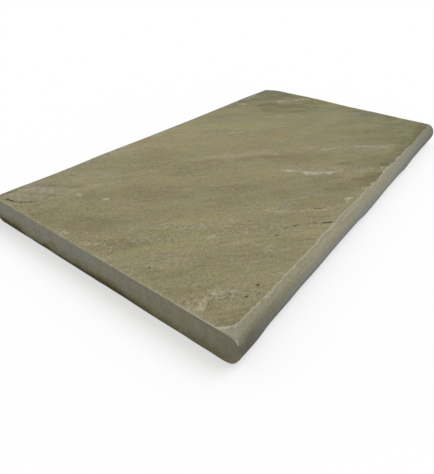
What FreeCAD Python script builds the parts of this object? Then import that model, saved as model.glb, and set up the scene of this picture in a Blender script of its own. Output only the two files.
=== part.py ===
"""Wall coping stone: one slab of riven sandstone with both long edges ground to a full bullnose.

Frame, in millimetres: origin at the middle of the bed (the underside), +X along the wall,
+Y across the wall, +Z up. The stone is what is left where four forms overlap: the bullnose
section run along X, a block with eased end arrises, a block with rounded plan corners, and the
riven blank, whose top is the slow wave of a natural bedding plane. The ground round therefore
meets the riven top in a wavering line, as it does on the real stone.
"""

import FreeCAD, Part
import math
import os

from FreeCAD import Vector

# Driving dimensions
LENGTH = 600.0  # along the wall
WIDTH = 340.0  # across the wall, nose to nose
THICKNESS = 31.0  # bed to the highest level that the riven top can reach
ARRIS_RADIUS = 1.0  # eased arrises of the two sawn ends
CORNER_RADIUS = 3.0  # plan rounding of three corners
WORN_CORNER_RADIUS = 36.0  # plan rounding of the knocked corner at +X +Y

# Riven top
BED_RELIEF = 0.9  # height between the crests and the troughs of the bedding plane
BED_TREND = -41.0  # degrees from +X to the run of the bedding bands
BROAD_WAVE = 230.0  # wave length across the bands
NARROW_WAVE = 104.0  # wave length of the lesser wave across the bands
LONG_WAVE = 390.0  # wave length along the bands
BROAD_SHARE = 0.5  # parts of the relief in the broad and the narrow wave; the long wave has the rest
NARROW_SHARE = 0.3
BED_GRID = 25.0  # spacing of the points that the bedding plane is drawn through
LAMINA = 0.6  # thickness of the next layer up, left standing in a few places

# Remnants of that layer: a flake by the -X +Y corner, and two long ledges
FLAKE_LENGTH = 52.0
FLAKE_WIDTH = 38.0
FLAKE_FROM_END = 30.0  # centre to the sawn end at -X
FLAKE_FROM_NOSE = 37.0  # centre to the nose at +Y
LEDGE_LENGTH = 92.0
LEDGE_WIDTH = 11.0
FIRST_LEDGE_FROM_END = 300.0  # centre to the sawn end at -X
FIRST_LEDGE_FROM_NOSE = 86.0  # centre to the nose at -Y
SECOND_LEDGE_FROM_END = 418.0
SECOND_LEDGE_FROM_NOSE = 68.0
RAGGEDNESS = 0.1  # how far a remnant's outline strays from an oval, as a share of its radius
OUTLINE_LOBES = 3  # swells in that outline
OUTLINE_POINTS = 12  # points that the outline's curve runs through

# Worked out from the sizes above
NOSE_RADIUS = THICKNESS / 2
HALF_LENGTH = LENGTH / 2
HALF_WIDTH = WIDTH / 2
TREND = math.radians(BED_TREND)


def bed_height(x, y):
    """Height of the main bedding plane at a place in plan: three slow waves added together."""
    along = x * math.cos(TREND) + y * math.sin(TREND)
    across = y * math.cos(TREND) - x * math.sin(TREND)
    broad = math.sin(math.tau * across / BROAD_WAVE + along / LONG_WAVE)
    narrow = math.sin(math.tau * across / NARROW_WAVE - 2 * along / LONG_WAVE)
    drift = math.cos(math.tau * along / LONG_WAVE)
    drift_share = 1 - BROAD_SHARE - NARROW_SHARE
    swing = BROAD_SHARE * broad + NARROW_SHARE * narrow + drift_share * drift
    return THICKNESS - LAMINA - BED_RELIEF * (1 - swing) / 2


def grid_line(half_size):
    """Evenly spaced places from one side of the blank to the other, about BED_GRID apart."""
    reach = half_size + 2 * BED_GRID
    count = math.ceil(2 * reach / BED_GRID)
    return [-reach + 2 * reach * i / count for i in range(count + 1)]


def under_bedding_plane(lift):
    """Solid under the bedding plane, with the plane raised by lift."""
    places = [
        [Vector(x, y, bed_height(x, y) + lift) for y in grid_line(HALF_WIDTH)]
        for x in grid_line(HALF_LENGTH)
    ]
    plane = Part.BSplineSurface()
    plane.interpolate(places)
    return plane.toShape().extrude(Vector(0, 0, -2 * THICKNESS))


def remnant_prism(x, y, length, width):
    """Upright prism over a ragged oval at x, y whose length lies along the bedding bands."""
    places = []
    for i in range(OUTLINE_POINTS):
        turn = math.tau * i / OUTLINE_POINTS
        stray = 1 + RAGGEDNESS * math.sin(OUTLINE_LOBES * turn)
        along = stray * length / 2 * math.cos(turn)
        across = stray * width / 2 * math.sin(turn)
        places.append(
            Vector(
                x + along * math.cos(TREND) - across * math.sin(TREND),
                y + along * math.sin(TREND) + across * math.cos(TREND),
            )
        )
    outline = Part.BSplineCurve()
    outline.interpolate(places, PeriodicFlag=True)
    return Part.Face(Part.Wire(outline.toShape())).extrude(Vector(0, 0, 2 * THICKNESS))


def riven_blank():
    """The split slab before sawing and grinding: the main plane and what stands on it."""
    next_layer = under_bedding_plane(LAMINA)
    flake = remnant_prism(
        FLAKE_FROM_END - HALF_LENGTH,
        HALF_WIDTH - FLAKE_FROM_NOSE,
        FLAKE_LENGTH,
        FLAKE_WIDTH,
    )
    first_ledge = remnant_prism(
        FIRST_LEDGE_FROM_END - HALF_LENGTH,
        FIRST_LEDGE_FROM_NOSE - HALF_WIDTH,
        LEDGE_LENGTH,
        LEDGE_WIDTH,
    )
    second_ledge = remnant_prism(
        SECOND_LEDGE_FROM_END - HALF_LENGTH,
        SECOND_LEDGE_FROM_NOSE - HALF_WIDTH,
        LEDGE_LENGTH,
        LEDGE_WIDTH,
    )
    standing = [next_layer.common(outline) for outline in (flake, first_ledge, second_ledge)]
    return under_bedding_plane(0).fuse(standing)


def bullnose_run():
    """The ground section: flat bed and a half round on each long edge, run along the wall."""
    flat = HALF_WIDTH - NOSE_RADIUS
    bed_a = Vector(-HALF_LENGTH, -flat, 0)
    bed_b = Vector(-HALF_LENGTH, flat, 0)
    top_a = Vector(-HALF_LENGTH, -flat, THICKNESS)
    top_b = Vector(-HALF_LENGTH, flat, THICKNESS)
    nose_a = Vector(-HALF_LENGTH, -HALF_WIDTH, NOSE_RADIUS)
    nose_b = Vector(-HALF_LENGTH, HALF_WIDTH, NOSE_RADIUS)
    section = Part.Wire(
        [
            Part.LineSegment(bed_a, bed_b).toShape(),
            Part.Arc(bed_b, nose_b, top_b).toShape(),
            Part.LineSegment(top_b, top_a).toShape(),
            Part.Arc(top_a, nose_a, bed_a).toShape(),
        ]
    )
    return Part.Face(section).extrude(Vector(LENGTH, 0, 0))


def block(length, width, height):
    """Plain block centred over the origin, standing on the bed level."""
    return Part.makeBox(length, width, height, Vector(-length / 2, -width / 2, 0))


def edges_along(solid, direction):
    """Straight edges of a block that run along a direction."""
    return [
        edge
        for edge in solid.Edges
        if abs((edge.Vertexes[1].Point - edge.Vertexes[0].Point).normalize().dot(direction)) > 0.99
    ]


def eased_ends():
    """Block whose sawn ends have their upper and lower arrises eased."""
    solid = block(LENGTH, 2 * WIDTH, THICKNESS)
    return solid.makeFillet(ARRIS_RADIUS, edges_along(solid, Vector(0, 1, 0)))


def plan_outline():
    """Block with the plan corners rounded, the knocked one more than the rest."""
    solid = block(LENGTH, WIDTH, 2 * THICKNESS)
    corners = edges_along(solid, Vector(0, 0, 1))
    worn = [edge for edge in corners if min(edge.CenterOfMass.x, edge.CenterOfMass.y) > 0]
    crisp = [edge for edge in corners if min(edge.CenterOfMass.x, edge.CenterOfMass.y) < 0]
    return solid.makeFillet(CORNER_RADIUS, crisp).common(
        solid.makeFillet(WORN_CORNER_RADIUS, worn)
    )


def coping_stone():
    """The finished stone: what the ground, sawn and riven forms have in common."""
    stone = bullnose_run()
    for form in (eased_ends(), plan_outline(), riven_blank()):
        stone = stone.common(form)
    return stone.removeSplitter().Solids[0]


os.makedirs("parts", exist_ok=True)
coping_stone().exportStep("parts/coping_stone.step")
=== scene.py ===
"""Looks of a wall coping stone: riven sandstone with ground bullnose edges and sawn ends.

The stone is one closed skin, worked out as a section carried along the length, that replaces the
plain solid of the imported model. Sizes here are in millimetres and the mesh is in metres, in the
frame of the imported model: +X along the wall, +Y across it, +Z up, origin at the middle of the bed.
"""

import logging
import math
from dataclasses import dataclass, field
from enum import Enum

import bpy
import numpy as np
from mathutils import Matrix, Vector


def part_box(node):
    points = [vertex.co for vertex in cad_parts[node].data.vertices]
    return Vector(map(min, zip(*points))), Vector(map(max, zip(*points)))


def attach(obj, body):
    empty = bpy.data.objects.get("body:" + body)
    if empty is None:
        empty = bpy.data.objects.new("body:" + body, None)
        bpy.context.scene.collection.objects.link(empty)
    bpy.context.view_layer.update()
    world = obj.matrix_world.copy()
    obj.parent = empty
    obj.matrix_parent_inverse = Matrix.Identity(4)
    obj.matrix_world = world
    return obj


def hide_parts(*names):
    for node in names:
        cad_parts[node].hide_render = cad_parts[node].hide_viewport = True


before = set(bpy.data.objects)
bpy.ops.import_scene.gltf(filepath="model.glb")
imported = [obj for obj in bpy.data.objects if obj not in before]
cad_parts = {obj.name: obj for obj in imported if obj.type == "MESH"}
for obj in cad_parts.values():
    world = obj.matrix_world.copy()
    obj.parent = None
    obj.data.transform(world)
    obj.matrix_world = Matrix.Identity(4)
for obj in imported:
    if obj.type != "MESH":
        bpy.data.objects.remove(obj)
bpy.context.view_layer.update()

MM = 0.001
NODE = "coping_stone"
BODY = "root"

Array = np.ndarray
Place = tuple[float, float]
Station = tuple[float, float]
Colour = tuple[int, int, int]
Socket = bpy.types.NodeSocket
Value = float | bpy.types.NodeSocket
Shade = tuple[float, float, float, float] | bpy.types.NodeSocket

log = logging.getLogger("coping_stone")


def smooth_step(low: float, high: float, value: Array) -> Array:
    """Ease from 0 at low to 1 at high, flat outside: 3 t^2 - 2 t^3 of the share t of the way.

    Args:
        low: value where the ease starts.
        high: value where it ends; may be below low to turn the ease round.
        value: values to ease.

    Returns:
        Shares from 0 to 1.
    """
    share = np.clip((value - low) / (high - low), 0.0, 1.0)
    return share * share * (3.0 - 2.0 * share)


def linear(colour: Colour) -> tuple[float, float, float, float]:
    """Scene-linear colour of a display colour written from 0 to 255."""
    shares = np.array(colour) / 255.0
    low = shares / 12.92
    high = ((shares + 0.055) / 1.055) ** 2.4
    return (*np.where(shares <= 0.04045, low, high).tolist(), 1.0)


class SmoothNoise:
    """Seeded random field: values on a square lattice with a smooth ease between them."""

    SIDE = 128

    def __init__(self, seed: int) -> None:
        """Draws the lattice from the seed."""
        self.values = np.random.default_rng(seed).uniform(-1.0, 1.0, (self.SIDE, self.SIDE))

    def at(self, u: Array, v: Array) -> Array:
        """Field at lattice places: the four nearest values, weighted by 6t^5 - 15t^4 + 10t^3.

        Args:
            u: first lattice coordinate.
            v: second lattice coordinate.

        Returns:
            Values from -1 to 1.
        """
        low_u = np.floor(u).astype(int)
        low_v = np.floor(v).astype(int)
        share_u = u - low_u
        share_v = v - low_v
        ease_u = share_u**3 * (share_u * (6.0 * share_u - 15.0) + 10.0)
        ease_v = share_v**3 * (share_v * (6.0 * share_v - 15.0) + 10.0)
        i, next_i = low_u % self.SIDE, (low_u + 1) % self.SIDE
        j, next_j = low_v % self.SIDE, (low_v + 1) % self.SIDE
        near = self.values[i, j] * (1.0 - ease_u) + self.values[next_i, j] * ease_u
        far = self.values[i, next_j] * (1.0 - ease_u) + self.values[next_i, next_j] * ease_u
        return near * (1.0 - ease_v) + far * ease_v

    def layered(self, u: Array, v: Array, layers: int) -> Array:
        """Sum of layers of the field, each twice as fine and half as strong as the one before."""
        total = np.zeros(np.broadcast(u, v).shape)
        for layer in range(layers):
            fineness = 2.0**layer
            total += self.at(u * fineness + 31.7 * layer, v * fineness + 11.3 * layer) / fineness
        return total


class Mark(Enum):
    """What a mark on the riven top is; the value names the mesh attribute that carries it."""

    PALE = "pale"
    DARK = "dark"
    ROUGH = "rough"
    TONE = "tone"
    WARMTH = "warmth"
    GREEN = "green"


@dataclass(frozen=True)
class Streak:
    """One mark on the riven top: a soft stroke between two places in plan.

    strength is from 0 to 1 for PALE, DARK, ROUGH and GREEN. TONE is lighter above 0 and darker
    below, and WARMTH is golden above 0 and grey below.
    """

    kind: Mark
    start: Place
    end: Place
    width: float
    strength: float

    def cover(self, x: Array, y: Array) -> Array:
        """Share of the stroke at each place: 1 by its line, easing to 0 at half its width.

        Args:
            x: places along the length.
            y: places across it.

        Returns:
            Shares from 0 to 1.
        """
        run = np.subtract(self.end, self.start)
        reach = max(float(run @ run), 1e-6)
        share = np.clip(((x - self.start[0]) * run[0] + (y - self.start[1]) * run[1]) / reach, 0, 1)
        gap = np.hypot(x - self.start[0] - share * run[0], y - self.start[1] - share * run[1])
        return smooth_step(self.width / 2.0, 0.1 * self.width, gap)


def streaks(kind: Mark, *rows: tuple[float, ...]) -> tuple[Streak, ...]:
    """Strokes of one kind from rows of start x, y, end x, y, width and strength."""
    return tuple(Streak(kind, row[0:2], row[2:4], row[4], row[5]) for row in rows)


# Freshly broken and dusty places
PALE_MARKS = streaks(
    Mark.PALE,
    (-239, 97, -237, 93, 6.4, 1.15),
    (-224, 65, -221, 63, 6.8, 1.15),
    (-294, 47, -292, 39, 7.8, 0.72),
    (-293, 10, -285, 5, 7.8, 0.72),
    (-280, 27, -274, 23, 7.8, 0.45),
    (-297, -6, -292, -24, 9.1, 0.36),
    (-242, -6, -220, -31, 7.8, 0.32),
    (-204, -49, -185, -62, 9.1, 0.32),
    (-208, -70, -203, -73, 6.0, 0.77),
    (-170, -68, -170, -72, 7.8, 0.63),
    (-182, -93, -178, -95, 7.8, 0.54),
    (-194, -128, -190, -130, 7.8, 0.41),
    (-297, -117, -290, -126, 13, 0.42),
    (-290, -126, -282, -124, 12, 0.42),
    (-282, -119, -268, -125, 17, 0.33),
    (-270, -124, -258, -136, 14, 0.33),
    (-258, -136, -245, -153, 11.7, 0.41),
    (-47, -146, -40, -152, 6.0, 0.85),
    (-43, -149, -54, -153, 6.0, 0.75),
    (-26, -53, -24, -60, 17, 0.6),
    (-24, -60, -14, -80, 14, 0.58),
    (-14, -82, 8, -102, 15, 0.72),
    (-12, -88, -6, -92, 6.5, 0.45),
    (6, -103, 26, -112, 11, 0.62),
    (30, -134, 50, -142, 10.4, 0.36),
    (58, -151, 64, -153, 9.1, 0.41),
    (70, -63, 87, -78, 10.4, 0.63),
    (94, -85, 117, -99, 9.1, 0.41),
    (117, -101, 148, -135, 10.4, 0.54),
    (152, -132, 161, -136, 10.4, 0.45),
    (118, -60, 128, -66, 15.6, 0.32),
    (10, 96, 34, 77, 11.7, 0.32),
    (36, 75, 50, 62, 11.7, 0.54),
    (-6, 95, -2, 97, 9.1, 0.5),
    (-12, 113, -6, 110, 11.7, 0.36),
    (119, 94, 147, 71, 15.6, 0.27),
    (150, 66, 161, 54, 15.6, 0.36),
    (182, 27, 187, 23, 15.6, 0.45),
    (167, 148, 174, 144, 16.9, 0.63),
    (155, 133, 180, 140, 14.3, 0.36),
    (231, 100, 242, 96, 19.5, 0.59),
    (246, 89, 262, 81, 16.9, 0.36),
    (269, 81, 277, 77, 18.2, 0.54),
    (280, 70, 290, 63, 14, 0.55),
    (219, -9, 250, -32, 19.5, 0.27),
    (276, -106, 288, -112, 10.4, 0.32),
    (215, -143, 225, -152, 9.1, 0.41),
    (-124, 154, -114, 147, 18.2, 0.41),
    (-40, -127, -23, -128, 5.2, 0.36),
    (-53, -106, -44, -102, 5.2, 0.36),
    (-261, 127, -253, 139, 11, 0.55),
    (-255, 121, -246, 133, 10, 0.45),
    (-287, 133, -283, 139, 9, 0.42),
    (-276, 152, -262, 145, 12, 0.52),
)

# Pits, clefts and the foot of the flake, painted dark as painted shade; the face is also lowered under
# them
DARK_MARKS = streaks(
    Mark.DARK,
    (-279, -58, -278, -59, 3.8, 0.8),
    (-257, -145, -256, -146, 3.8, 0.8),
    (-239, -146, -237, -146, 3.8, 0.8),
    (-251, 64, -250, 62, 4.2, 0.6),
    (-163, -120, -161, -121, 3.7, 0.85),
    (-145, -121, -137, -127, 3, 0.55),
    (-137, -128, -130, -131, 3.5, 0.74),
    (-125, -135, -117, -144, 3, 0.6),
    (-112, -148, -104, -155, 4.2, 0.85),
    (-91, -121, -88, -128, 2.5, 0.5),
    (-89, -128, -84, -133, 3.6, 0.78),
    (-294, 146, -293, 137, 3.6, 0.85),
    (-293, 137, -288, 129, 3.2, 0.60),
    (-288, 129, -279, 119, 3.4, 0.80),
    (-279, 119, -268, 115, 2.8, 0.50),
    (-268, 115, -255, 115, 3.0, 0.56),
    (-254, 117, -242, 133, 2.6, 0.42),
    (-269, 153, -243, 136, 2.6, 0.40),
    (-298, 158, -276, 156, 12.0, 0.42),
    (-249, 149, -236, 141, 10.0, 0.36),
    (159, -98, 184, -126, 4.2, 0.4),
    (60, -63, 67, -68, 3.4, 0.35),
    (244, 33, 251, 30, 5.1, 0.4),
    (-244, -101, -232, -113, 3, 0.25),
    (-225, -104, -211, -116, 3, 0.25),
)

# Bands where the layers have broken up
ROUGH_MARKS = streaks(
    Mark.ROUGH,
    (-264, -16, -238, -44, 15, 0.8),
    (-243, -4, -219, -32, 12, 0.8),
    (-210, -40, -182, -65, 14, 0.9),
    (-192, -82, -162, -107, 16, 0.9),
    (-297, -115, -270, -127, 18, 1.0),
    (-270, -126, -244, -155, 15, 1.0),
    (-156, -114, -103, -154, 13, 0.8),
    (-285, -45, -250, -80, 26, 0.5),
    (-294, 50, -290, -26, 17, 0.9),
    (-228, 59, -198, 43, 18, 0.6),
    (-275, 118, -240, 95, 14, 0.3),
    (-106, -107, -74, -100, 18, 0.8),
    (-78, -143, -40, -147, 16, 0.7),
    (-94, -119, -84, -134, 10, 0.6),
    (-30, -50, 26, -112, 16, 0.8),
    (28, -132, 60, -150, 14, 0.7),
    (47, -44, 70, -64, 10, 0.5),
    (70, -62, 160, -136, 16, 0.7),
    (8, 97, 52, 60, 12, 0.6),
    (-206, -126, -180, -138, 14, 0.4),
    (-180, 20, -130, -30, 16, 0.3),
    (-150, 60, -90, 10, 14, 0.3),
    (230, 102, 290, 62, 22, 0.6),
    (150, 145, 182, 132, 16, 0.6),
    (215, -5, 262, -40, 20, 0.4),
    (-262, 22, -210, -20, 12, 0.4),
)

# Lighter and darker bedding bands
TONE_MARKS = streaks(
    Mark.TONE,
    (-73, 56, 20, -24, 30, 0.34),
    (-84, 48, -56, 25, 13, -0.32),
    (-44, 15, 8, -26, 17, -0.32),
    (20, -35, 36, -43, 15, -0.30),
    (4, 148, 107, 45, 46, 0.30),
    (-41, -101, -7, -108, 34, -0.52),
    (-24, -128, 16, -154, 32, -0.70),
    (-152, -32, -34, -120, 32, -0.34),
    (-120, -20, -30, -90, 26, -0.12),
    (-131, -24, -94, -49, 30, -0.10),
    (-235, 90, -150, -10, 30, -0.18),
    (-112, 44, -104, 34, 38, -0.52),
    (-232, 90, -214, 74, 18, -0.12),
    (-292, 82, -262, 30, 50, -0.35),
    (-262, 30, -252, 16, 30, -0.20),
    (-280, -80, -250, -97, 28, -0.12),
    (-290, -150, -262, -157, 22, -0.32),
    (-212, -128, -196, -142, 20, -0.12),
    (-293, -45, -289, -70, 16, -0.22),
    (-255, -45, -210, -70, 40, 0.16),
    (-210, -30, -175, -70, 34, 0.22),
    (-150, -130, -130, -150, 26, 0.25),
    (-205, 132, -180, 116, 36, 0.36),
    (-130, 150, 12, 112, 48, 0.24),
    (-66, 104, -20, 66, 52, 0.24),
    (-256, 150, -240, 132, 15, -0.50),
    (-266, 158, -247, 141, 10, -0.95),
    (-268, 126, -252, 112, 12, -0.70),
    (-240, 131, -231, 125, 13, -0.40),
    (-297, 140, -286, 118, 18, -0.25),
    (-125, 96, -114, 74, 38, -0.28),
    (-200, 155, -170, 150, 16, -0.30),
    (66, 120, 110, 122, 46, -0.30),
    (40, 128, 66, 106, 30, 0.22),
    (176, 86, 208, 42, 34, -0.70),
    (143, 112, 166, 90, 34, -0.28),
    (190, 106, 242, 44, 34, -0.78),
    (226, 30, 250, 34, 16, -0.50),
    (225, 150, 296, 118, 66, -0.98),
    (272, 156, 298, 138, 40, -0.70),
    (184, 158, 216, 150, 26, -0.45),
    (194, 132, 206, 122, 30, 0.30),
    (270, 40, 296, -80, 60, -0.40),
    (270, -58, 296, -78, 26, -0.75),
    (240, -96, 262, -110, 22, -0.50),
    (225, -122, 296, -142, 50, -0.24),
    (150, -95, 200, -125, 40, -0.14),
    (100, -90, 128, -126, 17, -0.38),
    (112, -22, 166, -72, 46, -0.22),
    (198, -26, 216, -46, 28, -0.30),
    (240, -44, 296, -96, 60, -0.28),
    (-60, 157, 0, 152, 18, 0.34),
    (-196, 64, -170, 16, 46, -0.24),
    (-294, 8, -262, -30, 28, -0.30),
    (-298, -88, -288, -104, 18, -0.40),
    (-297, -157, -268, -158, 16, -0.50),
    (-60, -20, -24, -58, 26, 0.18),
    (0, -38, 42, -84, 46, -0.36),
    (46, -104, 100, -128, 40, -0.46),
    (52, -122, 92, -152, 50, -0.45),
    (100, -134, 122, -153, 36, -0.40),
    (178, -136, 212, -155, 34, -0.55),
    (40, 22, 100, 8, 50, -0.20),
    (-80, -118, -28, -150, 44, -0.30),
    (205, -14, 236, -40, 30, 0.24),
    (196, -58, 226, -86, 34, 0.26),
    (60, -44, 86, -62, 26, 0.26),
    (-152, -74, -120, -92, 30, 0.20),
    (-106, -124, -86, -140, 24, 0.24),
    (190, 150, 296, 70, 110, -0.34),
    (190, -70, 296, -140, 110, -0.16),
    (-92, -34, -54, -82, 26, -0.22),
    (20, -148, 44, -156, 24, -0.35),
    (80, -90, 92, -100, 20, -0.30),
    (164, -76, 188, -94, 28, -0.28),
    (198, -88, 232, -106, 30, -0.26),
    (200, -138, 216, -154, 22, -0.50),
    (236, 106, 252, 96, 24, -0.30),
    (258, 52, 272, 42, 24, -0.38),
    (223, 26, 251, 6, 31, -0.50),
    (260, -18, 268, -46, 24, -0.52),
    (206, 160, 238, 128, 32, -0.50),
    (-48, 128, -8, 84, 26, -0.18),
    (-150, 48, -140, 40, 20, -0.20),
    (-280, -58, -262, -72, 26, 0.22),
    (-113, -104, -97, -119, 24, 0.58),
    (86, -118, 104, -132, 20, 0.40),
    (102, 4, 122, -18, 26, 0.26),
    (152, 70, 160, 46, 18, 0.28),
    (-230, 120, -220, 110, 16, 0.28),
    (-126, 157, -108, 148, 20, 0.30),
    (-50, 157, -28, 148, 20, 0.25),
    (268, -96, 284, -108, 18, 0.30),
    (269, 26, 287, 10, 24, 0.48),
    (-202, -102, -189, -126, 24, 0.42),
    (-40, -54, -22, -70, 18, 0.26),
    (34, -88, 50, -102, 18, 0.30),
)

# Golden and grey patches
WARMTH_MARKS = streaks(
    Mark.WARMTH,
    (33, 42, 67, 5, 30, 0.66),
    (92, 20, 108, 10, 28, 0.62),
    (-244, -50, -242, -56, 16, 0.55),
    (-298, -88, -296, -92, 8, 0.45),
    (-232, 40, -222, 34, 20, 0.55),
    (-85, 145, -40, 135, 22, 0.4),
    (-135, 25, -120, 10, 22, 0.35),
    (262, 108, 268, 98, 12, 0.45),
    (130, 150, 145, 140, 20, 0.3),
    (-20, -8, 0, -20, 22, 0.3),
    (-269, 126, -253, 112, 11, 0.70),
    (-288, 146, -250, 124, 40, -0.9),
    (-200, 136, -182, 116, 26, -0.7),
    (-230, 150, -205, 142, 16, -0.5),
    (-124, 154, -112, 146, 18, -0.5),
    (-109, 44, -104, 38, 26, -0.5),
    (-264, -16, -238, -44, 16, -0.5),
    (-210, -42, -182, -64, 15, -0.6),
    (-106, -107, -74, -100, 20, -0.5),
    (-60, -98, -20, -112, 40, -0.3),
    (86, -80, 127, -124, 18, -0.8),
    (30, -132, 52, -142, 12, -0.5),
    (66, 120, 110, 122, 46, -0.4),
    (225, 100, 265, 80, 24, -0.6),
    (222, 28, 258, 0, 40, -0.6),
    (250, -32, 262, -40, 20, -0.5),
    (230, 150, 296, 120, 60, -0.4),
    (262, -50, 294, -76, 34, -0.5),
    (-288, 106, -250, 92, 40, -0.30),
    (-252, 152, -240, 138, 26, -0.35),
    (-185, 152, -150, 138, 30, -0.25),
    (138, 136, 160, 122, 36, -0.35),
    (234, 112, 250, 62, 28, -0.35),
    (290, 52, 295, 28, 20, -0.35),
    (-296, 157, -140, 157, 22, -0.45),
    (20, 156, 240, 152, 22, -0.30),
)

# Yellow-green patches
GREEN_MARKS = streaks(
    Mark.GREEN,
    (4, 148, 107, 45, 44, 0.40),
    (50, 99, 68, 84, 20, 0.42),
    (-206, -30, -172, -56, 26, 0.35),
    (-172, -12, -162, -20, 18, 0.4),
    (-190, -95, -170, -125, 24, 0.4),
    (-285, -28, -270, -36, 24, 0.4),
    (-245, -46, -215, -66, 24, 0.35),
    (-160, 70, -140, 45, 34, 0.4),
    (-245, 52, -236, 44, 16, 0.4),
    (-285, 85, -275, 70, 24, 0.3),
    (-292, -152, -260, -156, 18, 0.5),
    (-70, -10, -40, -40, 34, 0.3),
    (40, -70, 70, -110, 40, 0.3),
    (140, -65, 180, -90, 36, 0.35),
    (255, 44, 280, 46, 22, 0.6),
    (262, -14, 282, -24, 22, 0.4),
    (100, -150, 260, -152, 16, 0.25),
    (0, -153, 60, -154, 10, 0.25),
    (36, 155, 52, 150, 14, 0.4),
    (-225, 145, -190, 150, 18, 0.4),
    (-250, -40, -195, -88, 46, 0.24),
    (-130, -30, -95, -100, 46, 0.22),
    (-192, 10, -170, -26, 28, 0.22),
    (-264, 32, -246, 4, 24, 0.26),
    (-62, 100, -20, 60, 46, 0.20),
    (-52, 4, -30, -16, 24, 0.26),
    (-195, 115, -180, 98, 26, 0.35),
    (102, 96, 122, 58, 30, 0.26),
    (136, -14, 166, -36, 34, 0.26),
    (160, 44, 205, 66, 30, 0.20),
    (80, -122, 130, -154, 30, 0.30),
    (40, 28, 76, 6, 34, 0.24),
)

TOP_MARKS = PALE_MARKS + DARK_MARKS + ROUGH_MARKS + TONE_MARKS + WARMTH_MARKS + GREEN_MARKS


@dataclass(frozen=True)
class Chip:
    """A pale chip on an arris: its middle and its half sizes along X, Y and Z."""

    middle: tuple[float, float, float]
    half: tuple[float, float, float]
    strength: float = 1.0

    def cover(self, points: Array) -> Array:
        """Share of the chip at each point, fading from its middle as exp(-d^2) of the scaled gap."""
        gap = (points - np.array(self.middle)) / np.array(self.half)
        return self.strength * np.exp(-np.sum(gap**2, axis=-1))


ARRIS_CHIPS: tuple[Chip, ...] = (
    Chip((-298.6, -165.9, 28.1), (1.3, 0.9, 1.3), 1.0),
    Chip((-299.3, -166.9, 26.4), (1.3, 0.9, 1.4), 1.1),
    Chip((-299.5, -167.4, 24.4), (1.3, 0.9, 1.5), 1.0),
    Chip((-299.5, -90.0, 30.0), (3.0, 4.0, 2.0), 0.8),
    Chip((-299.5, 44.0, 30.0), (3.0, 6.0, 1.5), 0.7),
    Chip((-299.5, 8.0, 30.0), (3.0, 6.0, 1.5), 0.7),
    Chip((-299.5, -18.0, 30.0), (3.0, 9.0, 1.5), 0.5),
    Chip((-299.5, -123.0, 30.0), (3.0, 8.0, 1.5), 0.6),
)


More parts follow.
